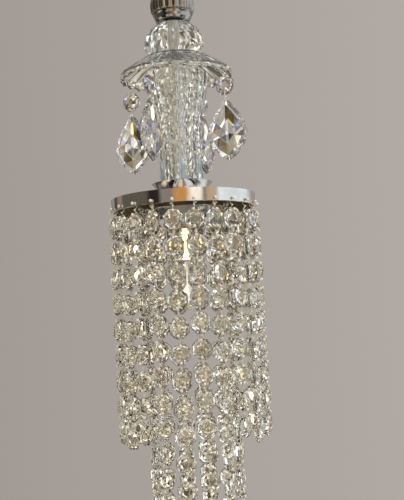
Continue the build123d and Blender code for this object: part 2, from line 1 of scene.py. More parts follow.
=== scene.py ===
import json
import math

import bmesh
import bpy
from mathutils import Matrix, Vector


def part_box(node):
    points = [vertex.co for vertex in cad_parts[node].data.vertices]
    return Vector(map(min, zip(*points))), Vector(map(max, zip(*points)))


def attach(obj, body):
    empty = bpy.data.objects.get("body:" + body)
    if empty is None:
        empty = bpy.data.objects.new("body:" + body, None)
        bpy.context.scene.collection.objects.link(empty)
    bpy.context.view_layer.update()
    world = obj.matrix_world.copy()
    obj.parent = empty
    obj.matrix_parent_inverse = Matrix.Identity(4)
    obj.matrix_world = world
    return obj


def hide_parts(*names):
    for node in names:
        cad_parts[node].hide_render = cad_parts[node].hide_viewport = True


# The looks of a one-light crystal chandelier: cut glass, plated metal and a lit candle lamp.
# Sizes are millimetres until a mesh is made, and the meshes are in metres.

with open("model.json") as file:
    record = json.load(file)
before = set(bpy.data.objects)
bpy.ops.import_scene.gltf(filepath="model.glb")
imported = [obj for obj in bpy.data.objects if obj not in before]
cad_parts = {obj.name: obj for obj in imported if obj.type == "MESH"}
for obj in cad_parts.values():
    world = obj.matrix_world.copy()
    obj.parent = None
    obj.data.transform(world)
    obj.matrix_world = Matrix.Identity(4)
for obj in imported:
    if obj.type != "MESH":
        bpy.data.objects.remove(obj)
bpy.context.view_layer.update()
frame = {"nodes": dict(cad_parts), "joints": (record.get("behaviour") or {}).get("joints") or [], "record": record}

MM = 0.001

# ---------------------------------------------------------------- driving sizes

# Octagon beads, across flats
BEAD = 18.0
BEAD_T = 8.0
BEAD_GIRDLE_T = 1.2
BEAD_WAIST = 13.6           # across the edge between the two rows of facets
BEAD_WAIST_T = 5.2
BEAD_TABLE = 8.2
BEAD_HOLE_IN = 1.4
BEAD_HOLE_R = 0.6
LINK_L = 8.6                # hole to hole, between two beads
LINK_SPREAD = 0.5           # a strand's links are up to this much longer or shorter
TURN_STEP = 10.0            # beads hang turned by multiples of this

# Round wire of the pins and hooks
WIRE_R = 0.42
PIN_GAP = 0.75              # wire's middle behind the glass
PIN_KNEE = 1.4
PIN_BALL_R = 1.5
SWIVEL_R = 1.05
HOOK_BALL_R = 1.55
HOOK_SLACK = 0.2            # keeps the ball off the wall when the strand swings
HOOK_GAP = 1.8
HOOK_KNEE = 1.2
HOOK_RUN = 2.4

OUTER_STRANDS = 22
OUTER_BEADS = 9
INNER_STRANDS = 12
INNER_BEADS = 13
BAND_T = 2.0

# Drops under the dish
DROPS = 4
DISH_T = 4.0                # thickness
DROP_HOOK_RUN = 1.2
DROP_LINK_L = 6.6
PENDALOGUE_H = 60.0
PENDALOGUE_W = 40.0
PENDALOGUE_T = 9.0
PENDALOGUE_EDGE_T = 2.0
PENDALOGUE_LOBES = 6
LOBE_DEPTH = 1.6
PENDALOGUE_HOLE_IN = 2.4
PENDALOGUE_PEAK = 0.57      # the facets meet this share of the height below the head
# Rings of a face from its edge in: steps down one side, lobed edge, share of the outline,
# and distance from the middle plane
PENDALOGUE_RINGS = ((48, True, 1, PENDALOGUE_EDGE_T / 2), (6, False, 0.80, PENDALOGUE_T * 0.33),
                    (3, False, 0.42, PENDALOGUE_T * 0.46))

TUBE_HOLE_R = 5.3           # bore of the pieces on the stem

# Ball
BALL_PANELS = 16
BALL_FOOT_R = 24.6
# Radius, share of the height, and depth of the hollows
BALL_ROWS = ((27.0, 0.12, 0.8), (28.9, 0.34, 1.8), (28.2, 0.58, 1.8), (24.4, 0.78, 0.3))
BALL_COLLAR_R = 20.2
BALL_COLLAR_UP = 0.9        # share of the height
BALL_CROWN_R = 15.8

# Dish
DISH_PETALS = 24
DISH_TOP_R = 30.5
DISH_LIP_H = 7.5
DISH_EDGE = 3.4             # the scalloped part of the lip
DISH_EDGE_IN = 0.6          # the edge lies this much inside the lip's radius
DISH_ARCH = 2.4             # rise of the edge between two petals
ARCH_STEPS = 8
# Corners down the outside, off an edge by (radius, level), and the petals' cut there
DISH_TOP = (0.0, 0.0, 0.0)          # this and the next off the top's edge
DISH_SHOULDER = (2.0, -1.2, 0.7)
DISH_HAUNCH = (-3.5, 1.6, 1.7)      # this and the next off the lip's upper edge
DISH_CORNER = (-0.6, -0.6, 0.9)
DISH_FACE = (-0.3, 0.0, 0.6)        # off the upper end of the scalloped part

# Vase
VASE_WALL = 3.5
VASE_FLOOR_T = 6.0
VASE_COLUMN_R = 20.5
VASE_COLUMN_H = 58.0
VASE_FLARE_BEND = 0.92      # under 1 the flare opens sooner
VASE_LIP_H = 4.0            # plain part under the mouth
VASE_LIP_T = 0.3
VASE_INSIDE = (0, 0.15, 0.3, 0.45, 0.6, 0.75, 1)    # shares down the flare
VASE_DIAMONDS = 16
VASE_ROWS = 18
VASE_CUT = 0.9
VASE_FLUTES = 6
VASE_FLUTE_W = 17.0
VASE_FLUTE_DEPTH = 2.9
VASE_FLUTE_TIP = 0.05       # depth at the upper end
VASE_FLUTE_H = 58.0
VASE_FLUTE_CLEAR = 3.0      # the cutter reaches this far out of the glass
FLUTE_FACE_AREA = 60.0      # square millimetres, more than any other outer face has
FLUTE_FACING = 0.6
VASE_FOOT_FLARE = 1.5       # the outside widens this much over its lowest part
VASE_FOOT_H = 32.0

# Sheet of painted shade inside the pan, dull olive-brown over the chrome
SHADE_SHEET_GAP = 0.1
SHADE_SHEET_T = 0.1
SHADE_SHEET_UP = 0.2             # its edge above the pan's
SHADE_SHEET_SIDES = 96
PAN_PLATE_T = 1.5
PAN_HOLE_R = 41.2

# Stem cup, by (radius, height above its foot): smooth up to the groove, fluted above it
STEM_CONE = ((15.7, 0.0), (17.4, 3.4), (19.6, 8.5))
STEM_GROOVE = ((18.2, 8.7), (18.2, 9.8))
STEM_BELLY = ((20.2, 10), (21.6, 12), (21.6, 19), (18.6, 31), (11.2, 41), (10.6, 47))
STEM_MOUTH_R = 13.0
STEM_TOP_R = 12.6
STEM_FLUTES = 20
STEM_FLUTE_DEPTH = 0.07     # share of the radius
FLUTE_STEPS = 8             # points round one flute


def box_mm(name):
    low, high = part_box(name)
    return low / MM, high / MM


# ---------------------------------------------------------------- node helpers

def add_node(tree, kind, inputs=None, **settings):
    """Adds a node. An input is a number, a colour or another node's output."""
    made = tree.nodes.new(kind)
    for key, value in settings.items():
        setattr(made, key, value)
    for name, value in (inputs or {}).items():
        if isinstance(value, bpy.types.NodeSocket):
            tree.links.new(value, made.inputs[name])
        else:
            made.inputs[name].default_value = value
    return made


def add_ramp(tree, factor, stops, blend="LINEAR"):
    """Colour stops as (place, (r, g, b)) pairs."""
    made = add_node(tree, "ShaderNodeValToRGB", {"Fac": factor})
    made.color_ramp.interpolation = blend
    elements = made.color_ramp.elements
    elements.remove(elements[1])
    elements[0].position = stops[0][0]
    elements[0].color = (*stops[0][1], 1)
    for place, colour in stops[1:]:
        elements.new(place).color = (*colour, 1)
    return made.outputs["Color"]


def add_range(tree, value, low, high):
    """From low at 0 to high at 1."""
    made = add_node(tree, "ShaderNodeMapRange", {"Value": value, "To Min": low, "To Max": high})
    return made.outputs["Result"]


def add_step(tree, value, low, high):
    """0 up to low, 1 from high on, and an even rise between them."""
    made = add_node(tree, "ShaderNodeMapRange", {"Value": value, "From Min": low, "From Max": high})
    return made.outputs["Result"]


def add_mix(tree, factor, first, second):
    """The first colour at 0, the second at 1."""
    made = add_node(tree, "ShaderNodeMix", {"Factor": factor, 6: first, 7: second},
                    data_type="RGBA")
    return made.outputs[2]


def object_noise(tree, scale, detail=2.0):
    """Noise fixed to the object, about scale features to the metre."""
    place = add_node(tree, "ShaderNodeTexCoord").outputs["Object"]
    made = add_node(tree, "ShaderNodeTexNoise", {"Vector": place, "Scale": scale, "Detail": detail})
    return made.outputs["Fac"]


def add_bump(tree, shader, height, strength, distance):
    bump = add_node(tree, "ShaderNodeBump",
                    {"Height": height, "Strength": strength, "Distance": distance})
    tree.links.new(bump.outputs["Normal"], shader.inputs["Normal"])


def new_material(name):
    material = bpy.data.materials.new(name)
    material.use_nodes = True
    tree = material.node_tree
    return material, tree, tree.nodes["Principled BSDF"]


# ---------------------------------------------------------------- materials

# Noise features to the metre
SMEARS = 70
RIPPLES = 120
TINTS = 14
HAZE = 260
WEAR = 90
GLOW = 200

CLEAR_HAZE = 0.03           # most roughness of clear glass
FACET_STEP = 0.06           # normals that differ by less share a tint


def plated_metal(name, colour, dulled, smooth, rough, metallic=1.0):
    """A mirror finish with faint smears and a slightly wavy surface."""
    material, tree, shader = new_material(name)
    smear = object_noise(tree, SMEARS, 3)
    tree.links.new(add_ramp(tree, smear, [(0.35, dulled), (0.6, colour)]),
                   shader.inputs["Base Color"])
    tree.links.new(add_range(tree, smear, rough, smooth), shader.inputs["Roughness"])
    shader.inputs["Metallic"].default_value = metallic
    add_bump(tree, shader, object_noise(tree, RIPPLES), 0.15, 0.0004)
    return material


def crystal(name, clear, tinted, ior, clearness=1.0, haze_most=CLEAR_HAZE):
    """Glass with slow changes of tint, a trace of haze and, when less clear, a milky body."""
    material, tree, shader = new_material(name)
    tint = object_noise(tree, TINTS)
    tree.links.new(add_ramp(tree, tint, [(0.35, clear), (0.65, tinted)]),
                   shader.inputs["Base Color"])
    haze = object_noise(tree, HAZE)
    tree.links.new(add_range(tree, haze, 0.0, haze_most), shader.inputs["Roughness"])
    shader.inputs["IOR"].default_value = ior
    shader.inputs["Transmission Weight"].default_value = clearness
    return material


def iridescent_crystal(name):
    """Clear glass with a thin coat whose tint changes from facet to facet."""
    material, tree, shader = new_material(name)
    where = add_node(tree, "ShaderNodeTexCoord")
    step = add_node(tree, "ShaderNodeVectorMath",
                    {0: where.outputs["Normal"], 1: (FACET_STEP,) * 3}, operation="SNAP")
    facet = add_node(tree, "ShaderNodeTexWhiteNoise", {"Vector": step.outputs["Vector"]})
    stops = [(0.0, (0.90, 0.56, 0.20)), (0.13, (0.92, 0.92, 0.90)), (0.30, (0.50, 0.62, 0.90)),
             (0.44, (0.94, 0.94, 0.92)), (0.56, (0.22, 0.20, 0.33)), (0.72, (0.86, 0.86, 0.84)),
             (0.86, (0.70, 0.66, 0.84))]
    tint = add_ramp(tree, facet.outputs["Value"], stops, "CONSTANT")
    tree.links.new(tint, shader.inputs["Base Color"])
    haze = object_noise(tree, HAZE)
    tree.links.new(add_range(tree, haze, 0.0, CLEAR_HAZE), shader.inputs["Roughness"])
    shader.inputs["IOR"].default_value = 1.58
    shader.inputs["Transmission Weight"].default_value = 1
    shader.inputs["Thin Film Thickness"].default_value = 300
    shader.inputs["Thin Film IOR"].default_value = 1.72
    return material


def plain_finish(name, colour, worn, roughness, grain):
    """Plastic, porcelain or rubber with a fine grain."""
    material, tree, shader = new_material(name)
    tree.links.new(add_ramp(tree, object_noise(tree, WEAR), [(0.35, worn), (0.6, colour)]),
                   shader.inputs["Base Color"])
    fine = object_noise(tree, grain)
    tree.links.new(add_range(tree, fine, roughness * 0.8, roughness * 1.2),
                   shader.inputs["Roughness"])
    add_bump(tree, shader, fine, 0.2, 0.0003)
    return material


def lit_filament(name):
    """A warm glow, uneven along the wire."""
    material, tree, shader = new_material(name)
    glow = object_noise(tree, GLOW)
    colour = add_ramp(tree, glow, [(0.3, (1.0, 0.45, 0.12)), (0.7, (1.0, 0.76, 0.46))])
    tree.links.new(colour, shader.inputs["Base Color"])
    tree.links.new(colour, shader.inputs["Emission Color"])
    shader.inputs["Emission Strength"].default_value = 5
    return material


finishes = {
    "dark_chrome": plated_metal("dark_chrome", (0.43, 0.42, 0.40), (0.31, 0.30, 0.28), 0.05, 0.14),
    "pin_chrome": plated_metal("pin_chrome", (0.97, 0.92, 0.80), (0.86, 0.79, 0.66), 0.10, 0.24,
                               0.45),
    # The pan's inside: dull olive-brown painted shade over the chrome
    "pan_painted_shade": plain_finish("pan_painted_shade", (0.30, 0.25, 0.16), (0.24, 0.20, 0.12), 0.4, 500),
    "chrome": plated_metal("chrome", (0.86, 0.85, 0.84), (0.72, 0.71, 0.69), 0.02, 0.09),
    "steel": plated_metal("steel", (0.62, 0.61, 0.60), (0.45, 0.44, 0.42), 0.22, 0.40),
    "brass": plated_metal("brass", (0.80, 0.60, 0.28), (0.55, 0.38, 0.16), 0.18, 0.36),
    "crystal": crystal("crystal", (0.985, 0.97, 0.925), (0.96, 0.925, 0.84), 1.56, 0.99),
    "pressed_glass": crystal("pressed_glass", (0.98, 0.99, 0.97), (0.95, 0.96, 0.92), 1.48, 0.94,
                             0.04),
    "crystal_ab": iridescent_crystal("crystal_ab"),
    "cut_rim": crystal("cut_rim", (1.0, 0.99, 0.97), (0.96, 0.94, 0.90), 1.5, 0.93),
    # The V cuts' faces: a blue-grey painted reflection, with a milky body
    "flute_painted_reflection": crystal("flute_painted_reflection", (0.70, 0.77, 0.86), (0.58, 0.66, 0.76), 1.5, 0.68, 0.05),
    "lamp_clear": crystal("lamp_clear", (1.0, 0.99, 0.97), (0.98, 0.96, 0.92), 1.5),
    "filament": lit_filament("filament"),
    "soft": plain_finish("soft", (0.10, 0.10, 0.10), (0.05, 0.05, 0.05), 0.7, 900),
    "insulation": plain_finish("insulation", (0.82, 0.80, 0.73), (0.62, 0.59, 0.52), 0.5, 700),
    "holder": plain_finish("holder", (0.84, 0.81, 0.73), (0.66, 0.62, 0.53), 0.32, 500),
    "porcelain": plain_finish("porcelain", (0.88, 0.87, 0.84), (0.70, 0.68, 0.64), 0.2, 400),
}


def finish_cad_nodes():
    """Gives each CAD node the finish of its slot."""
    for part in frame["record"]["subparts"]:
        mesh = frame["nodes"][part["node"]].data
        mesh.materials.clear()
        mesh.materials.append(finishes[part["material_slot"]])


# ---------------------------------------------------------------- mesh helpers

class Shape:
    """Points and faces of a mesh in the making."""

    def __init__(self):
        self.points = []
        self.faces = []

    def ring(self, points):
        """Adds points and gives their numbers."""
        first = len(self.points)
        self.points += [Vector(p) for p in points]
        return list(range(first, len(self.points)))

    def band(self, a, b):
        """Four-sided faces between two rings of as many points."""
        for i in range(len(a)):
            j = (i + 1) % len(a)
            self.faces.append((a[i], a[j], b[j], b[i]))

    def skin(self, rings, closed=False):
        """Bands from ring to ring and, when closed, from the last to the first."""
        for a, b in zip(rings, rings[1:] + (rings[:1] if closed else [])):
            self.band(a, b)

    def zigzag(self, a, b):
        """Triangles from ring a to ring b, which stands half a step on."""
        for i in range(len(a)):
            j = (i + 1) % len(a)
            self.faces += [(a[i], a[j], b[i]), (b[i], a[j], b[j])]

    def fan(self, outer, inner):
        """Triangles from each inner corner to its share of the outer ones."""
        per = len(outer) // len(inner)
        half = per // 2
        for i, corner in enumerate(inner):
            following = inner[(i + 1) % len(inner)]
            for k in range(-half, per - half):
                a = outer[(i * per + k) % len(outer)]
                b = outer[(i * per + k + 1) % len(outer)]
                self.faces.append((corner, a, b))
            self.faces.append((corner, outer[(i * per + per - half) % len(outer)], following))

    def diamonds(self, rows, count):
        """Four-sided pyramids all round. A row is (groove radius, tip radius, level)."""
        rings = [self.ring(circle(count, low, z, (j % 2) / 2))
                 for j, (low, tip, z) in enumerate(rows)]
        for j in range(1, len(rows) - 1):
            tips = self.ring(circle(count, rows[j][1], rows[j][2], (j % 2) / 2 + 0.5))
            for i in range(count):
                left, right = rings[j][i], rings[j][(i + 1) % count]
                k = (i + j % 2) % count
                below, above, tip = rings[j - 1][k], rings[j + 1][k], tips[i]
                self.faces += [(tip, left, below), (tip, below, right),
                               (tip, right, above), (tip, above, left)]
        for edge, inner in ((rings[0], rings[1]), (rings[-1], rings[-2])):
            for i in range(count):
                self.faces.append((edge[i], edge[(i + 1) % count], inner[i]))
        return rings[0], rings[-1]

    def add(self, other, place=Matrix.Identity(4)):
        first = len(self.points)
        self.points += [place @ p for p in other.points]
        self.faces += [tuple(first + i for i in face) for face in other.faces]

    def mesh(self, name):
        mesh = bpy.data.meshes.new(name)
        mesh.from_pydata([p * MM for p in self.points], [], self.faces)
        work = bmesh.new()
        work.from_mesh(mesh)
        bmesh.ops.recalc_face_normals(work, faces=work.faces)
        work.to_mesh(mesh)
        work.free()
        return mesh


def circle(count, radius, z, ahead=0.0):
    """Points about the axis, the first of them ahead of +X by so many steps."""
    step = math.tau / count
    return [(radius * math.cos((i + ahead) * step), radius * math.sin((i + ahead) * step), z)
            for i in range(count)]


def hollowed(count, radius, z, cut, first):
    """A circle whose every other point, counted from first, lies deeper by the cut."""
    points = []
    for i, (x, y, level) in enumerate(circle(count, 1, z)):
        reach = radius - cut * (i % 2 == first)
        points.append((x * reach, y * reach, level))
    return points


def spin(azimuth):
    return Matrix.Rotation(math.radians(azimuth), 4, "Z")


def shift(x, y, z):
    return Matrix.Translation((x, y, z))


def piece(name, mesh, body, slot, replaced=(), smooth=False, finish=None):
    """A new piece. Its finish is its slot's unless another is named."""
    obj = bpy.data.objects.new(name, mesh)
    bpy.context.scene.collection.objects.link(obj)
    mesh.materials.append(finishes[finish or slot])
    if smooth:
        mesh.shade_smooth()
    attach(obj, body)
    if replaced:
        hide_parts(*replaced)
    return obj


def part_of(body, part, shape, slot, **options):
    """A piece of a strand or drop, named after its body."""
    name = f"{body}_{part}"
    return piece(name, shape.mesh(name), body, slot, **options)


def second_finish(obj, finish, chosen):
    """Gives the chosen faces, a true or false for each, another finish."""
    obj.data.materials.append(finishes[finish])
    for face, other in zip(obj.data.polygons, chosen):
        face.material_index = int(other)


def carved(mesh, cutter):
    """The mesh with the cutter's shape taken out of it."""
    body = bpy.data.objects.new("body", mesh)
    tool = bpy.data.objects.new("tool", cutter)
    for obj in (body, tool):
        bpy.context.scene.collection.objects.link(obj)
    cut = body.modifiers.new("cut", "BOOLEAN")
    cut.object = tool
    cut.solver = "EXACT"
    bpy.context.view_layer.update()
    graph = bpy.context.evaluated_depsgraph_get()
    made = bpy.data.meshes.new_from_object(body.evaluated_get(graph))
    for obj in (body, tool):
        bpy.data.objects.remove(obj)
    return made


def shape_of(mesh):
    shape = Shape()
    shape.points = [v.co / MM for v in mesh.vertices]
    shape.faces = [tuple(p.vertices) for p in mesh.polygons]
    return shape


def ball(radius, centre, tall=1.0):
    """A small faceted bead of metal."""
    shape = Shape()
    work = bmesh.new()
    bmesh.ops.create_icosphere(work, subdivisions=2, radius=radius)
    shape.points = [Vector((v.co.x, v.co.y, v.co.z * tall)) + Vector(centre) for v in work.verts]
    shape.faces = [tuple(v.index for v in face.verts) for face in work.faces]
    work.free()
    return shape


def rounded(points, reach, steps=4):
    """The path with each corner turned into a short curve."""
    path = [points[0]]
    for before, corner, after in zip(points, points[1:], points[2:]):
        start = corner + (before - corner).normalized() * min(reach, (before - corner).length / 2)
        end = corner + (after - corner).normalized() * min(reach, (after - corner).length / 2)
        for i in range(steps + 1):
            t = i / steps
            path.append(start * (1 - t) ** 2 + corner * (2 * t * (1 - t)) + end * t ** 2)
    return path + [points[-1]]


def wire(points, radius, sides=8):
    """Round wire along a path in the XZ plane."""
    path = rounded([Vector(p) for p in points], 2 * radius)
    shape = Shape()
    side = Vector((0, 1, 0))
    rings = []
    for i, point in enumerate(path):
        run = (path[min(i + 1, len(path) - 1)] - path[max(i - 1, 0)]).normalized()
        across = run.cross(side)
        angles = [math.tau * k / sides for k in range(sides)]
        rings.append(shape.ring([point + (side * math.cos(a) + across * math.sin(a)) * radius
                                 for a in angles]))
    shape.skin(rings)
    shape.faces += [tuple(rings[0]), tuple(rings[-1])]
    return shape


# ---------------------------------------------------------------- beads, pins and strands

BEAD_HOLE = BEAD / 2 - BEAD_HOLE_IN
BEAD_SLOPE = (BEAD_T - BEAD_GIRDLE_T) / (BEAD - BEAD_TABLE)
BEAD_HALF = BEAD_GIRDLE_T / 2 + BEAD_SLOPE * BEAD_HOLE_IN


def octagon(across, level, turn=0.0):
    """Corners in the YZ plane, flats at the top and sides unless turned."""
    radius = across / 2 / math.cos(math.pi / 8)
    angles = [math.radians(22.5 + 45 * i + turn) for i in range(8)]
    return [(level, radius * math.sin(a), radius * math.cos(a)) for a in angles]


def drill(holes, radius, length):
    """Round cutters along X through the given heights."""
    shape = Shape()
    for z in holes:
        ends = [shape.ring([(x, p[0], p[1] + z) for p in circle(10, radius, 0)])
                for x in (-length, length)]
        shape.band(*ends)
        shape.faces += [tuple(ends[0]), tuple(ends[1])]
    return shape.mesh("drill")


def bead_shape():
    """An octagon of fifty-eight facets with a hole near its upper and lower edge."""
    shape = Shape()
    girdles = []
    for side in (1, -1):
        table = shape.ring(octagon(BEAD_TABLE, side * BEAD_T / 2, 22.5))
        waist = shape.ring(octagon(BEAD_WAIST, side * BEAD_WAIST_T / 2))
        girdle = shape.ring(octagon(BEAD, side * BEAD_GIRDLE_T / 2))
        shape.faces.append(tuple(table))
        shape.zigzag(waist, table)
        shape.band(waist, girdle)
        girdles.append(girdle)
    shape.band(*girdles)
    return shape_of(carved(shape.mesh("bead"), drill((-BEAD_HOLE, BEAD_HOLE), BEAD_HOLE_R, BEAD_T)))


def pin(front, back, knee, drop, ball_r):
    """A ball-headed wire through a hole at the origin, down behind and in to the swivel."""
    shape = wire([(front, 0, 0), (-back, 0, 0), (-back, 0, -knee), (0, 0, -drop)], WIRE_R)
    shape.add(ball(ball_r, (front, 0, 0)))
    return shape


def bead_pin(length):
    """One of the two pins that join beads by a link of this length."""
    return pin(BEAD_HALF + PIN_BALL_R, BEAD_HALF + PIN_GAP, PIN_KNEE, length / 2, PIN_BALL_R)


def wall_hook(wall, hole_up, run):
    """The hook through a wall, and how far its swivel hangs below the hole."""
    knee = hole_up + HOOK_KNEE
    drop = knee + run
    front = wall / 2 + HOOK_BALL_R + HOOK_SLACK
    return pin(front, wall / 2 + HOOK_GAP, knee, drop, HOOK_BALL_R), drop


def link(upper, drop, lower, lower_drop, turn):
    """Two pins that meet in a swivel. The lower one points up."""
    shape = Shape()
    shape.add(upper)
    shape.add(ball(SWIVEL_R, (0, 0, -drop), 0.85))
    flip = Matrix.Rotation(math.pi, 4, "X")
    shape.add(lower, shift(0, 0, -drop - lower_drop) @ spin(turn) @ flip)
    return shape


def link_length(index):
    """Hole to hole in this strand."""
    return LINK_L + LINK_SPREAD * ((3 * index) % 5 - 2) / 2


def bead_turn(index, k):
    """How far bead k of this strand is turned."""
    return TURN_STEP * ((3 * index + 2 * k + index * k) % 5 - 2)


def hung_at(body):
    """The place of a strand's or drop's hinge, with +X outwards."""
    joint = next(j for j in frame["joints"] if j["child"] == body)
    at = Vector(joint["pos_m"]) / MM
    return Matrix.Translation(at) @ Matrix.Rotation(math.atan2(at.y, at.x), 4, "Z")


def strand(body, index, beads, bead):
    """A row of beads below its hook in the pan's wall."""
    place = hung_at(body)
    hole_up = place.translation.z - box_mm("ring_pan")[0].z
    hook, hook_drop = wall_hook(BAND_T, hole_up, HOOK_RUN)
    length = link_length(index)
    lower = bead_pin(length)
    turns = [bead_turn(index, k) for k in range(beads)]
    glass = Shape()
    metal = Shape()
    metal.add(link(hook, hook_drop, lower, length / 2, turns[0]), place)
    z = -hook_drop - length / 2 - BEAD_HOLE
    for k, turn in enumerate(turns):
        glass.add(bead, place @ shift(0, 0, z) @ spin(turn))
        if k + 1 < beads:
            joint = link(lower, length / 2, lower, length / 2, turns[k + 1] - turn)
            metal.add(joint, place @ shift(0, 0, z - BEAD_HOLE) @ spin(turn))
        z -= 2 * BEAD_HOLE + length
    part_of(body, "crystals", glass, "crystal", replaced=(body,))
    part_of(body, "pins", metal, "chrome", smooth=True, finish="pin_chrome")


# ---------------------------------------------------------------- drops

def drop_edge(steps, lobes):
    """Corners of the drop's outline, from its head round, in the YZ plane about its hole."""
    side = []
    for i in range(1, steps):
        down = i / steps
        swell = math.sin(math.pi * down ** 1.25) ** 0.8
        lobe = 0.0
        if lobes:
            phase = (down * PENDALOGUE_LOBES) % 1.0
            lobe = LOBE_DEPTH * (1 - math.sin(math.pi * phase) ** 0.6)
        side.append((PENDALOGUE_W / 2 * swell - lobe, PENDALOGUE_HOLE_IN - PENDALOGUE_H * down))
    tip = [(0, PENDALOGUE_HOLE_IN - PENDALOGUE_H)]
    return [(0, PENDALOGUE_HOLE_IN)] + side + tip + [(-y, z) for y, z in reversed(side)]


def pendalogue_shape():
    """Big facets that meet in a point on both faces, then small ones to a scalloped edge."""
    middle = PENDALOGUE_HOLE_IN - PENDALOGUE_PEAK * PENDALOGUE_H
    shape = Shape()
    girdles = []
    for side in (1, -1):
        rings = [shape.ring([(side * level, y * share, middle + (z - middle) * share)
                             for y, z in drop_edge(steps, lobes)])
                 for steps, lobes, share, level in PENDALOGUE_RINGS]
        girdle, facets, inner = rings
        peak, = shape.ring([(side * PENDALOGUE_T / 2, 0, middle)])
        shape.fan(girdle, facets)
        shape.fan(facets, inner)
        for a, b in zip(inner, inner[1:] + inner[:1]):
            shape.faces.append((a, b, peak))
        girdles.append(girdle)
    shape.band(*girdles)
    return shape_of(carved(shape.mesh("drop"), drill((0,), BEAD_HOLE_R, PENDALOGUE_T)))


def drop(body, bead, pendalogue):
    """A bead and a pendalogue below a hook in the dish's lip, both facing outwards."""
    place = hung_at(body)
    hole_up = place.translation.z - box_mm("glass_dish")[0].z
    hook, hook_drop = wall_hook(DISH_T, hole_up, DROP_HOOK_RUN)
    lower = bead_pin(DROP_LINK_L)
    flat = spin(90)
    z_upper = -hook_drop - DROP_LINK_L / 2
    z_lower = z_upper - 2 * BEAD_HOLE
    metal = Shape()
    metal.add(link(hook, hook_drop, lower, DROP_LINK_L / 2, 90), place)
    metal.add(link(lower, DROP_LINK_L / 2, lower, DROP_LINK_L / 2, 0),
              place @ shift(0, 0, z_lower) @ flat)
    glass = Shape()
    glass.add(bead, place @ shift(0, 0, z_upper - BEAD_HOLE) @ flat)
    large = Shape()
    large.add(pendalogue, place @ shift(0, 0, z_lower - DROP_LINK_L) @ flat)
    part_of(body, "octagon", glass, "crystal_ab")
    cut = part_of(body, "pendalogue", large, "crystal_ab", replaced=(body,))
    rim_x = PENDALOGUE_EDGE_T / 2 + 0.01
    second_finish(cut, "cut_rim",
                  [any(abs(pendalogue.points[i].x) < rim_x for i in face)
                   for face in pendalogue.faces])
    part_of(body, "pins", metal, "chrome", smooth=True, finish="pin_chrome")


# ---------------------------------------------------------------- stem, ball, dish and vase

def smoothed(points, steps):
    """A smooth run through (radius, level) points."""
    curve = bpy.data.curves.new("profile", "CURVE")
    curve.dimensions = "3D"
    spline = curve.splines.new("NURBS")
    spline.points.add(len(points) - 1)
    for place, (r, z) in zip(spline.points, points):
        place.co = (r, 0, z, 1)
    spline.order_u = 3
    spline.use_endpoint_u = True
    spline.resolution_u = steps
    obj = bpy.data.objects.new("profile", curve)
    mesh = bpy.data.meshes.new_from_object(obj)
    made = [(v.co.x, v.co.z) for v in mesh.vertices]
    bpy.data.objects.remove(obj)
    return made


def stem_shape():
    """A cup with a bore for the tube: smooth cone, groove, and flutes up to the neck."""
    low, high = box_mm("stem_cup")
    foot, top = low.z, high.z
    plain = [(r, foot + up) for r, up in STEM_CONE + STEM_GROOVE]
    fluted = smoothed([(r, foot + up) for r, up in STEM_BELLY] + [(STEM_MOUTH_R, top - 1)], 5)
    columns = STEM_FLUTES * FLUTE_STEPS
    shape = Shape()
    rings = [shape.ring(circle(columns, r, z)) for r, z in plain]
    for r, z in fluted:
        ring = []
        for i, (x, y, level) in enumerate(circle(columns, 1, z)):
            lobe = abs(math.sin(math.pi * i / FLUTE_STEPS))
            grow = r * (1 - STEM_FLUTE_DEPTH * (1 - lobe))
            ring.append((x * grow, y * grow, level))
        rings.append(shape.ring(ring))
    for r, z in ((STEM_TOP_R, top), (TUBE_HOLE_R, top), (TUBE_HOLE_R, foot)):
        rings.append(shape.ring(circle(columns, r, z)))
    shape.skin(rings, closed=True)
    return shape


def ball_shape():
    """A squat ball: hollow-cut panels about its belly and triangles above them."""
    low, high = box_mm("glass_ball")
    foot, top = low.z, high.z
    tall = top - foot
    count = 2 * BALL_PANELS
    shape = Shape()
    base = shape.ring(circle(count, BALL_FOOT_R, foot))
    sides = [shape.ring(hollowed(count, r, foot + tall * up, cut, 1)) for r, up, cut in BALL_ROWS]
    collar = shape.ring(circle(count, BALL_COLLAR_R, foot + tall * BALL_COLLAR_UP, 0.5))
    crown = shape.ring(circle(count, BALL_CROWN_R, top))
    bore = [shape.ring(circle(count, TUBE_HOLE_R, z)) for z in (top, foot)]
    shape.skin([base] + sides)
    shape.zigzag(sides[-1], collar)
    shape.zigzag(crown, collar)
    shape.skin([crown] + bore + [base])
    return shape


def scalloped(radius, level):
    """A circle whose level arches up between the petals' middles."""
    points = circle(DISH_PETALS * ARCH_STEPS, radius, level)
    return [(x, y, z + DISH_ARCH * math.sin(math.pi * (i % ARCH_STEPS) / ARCH_STEPS) ** 0.8)
            for i, (x, y, z) in enumerate(points)]


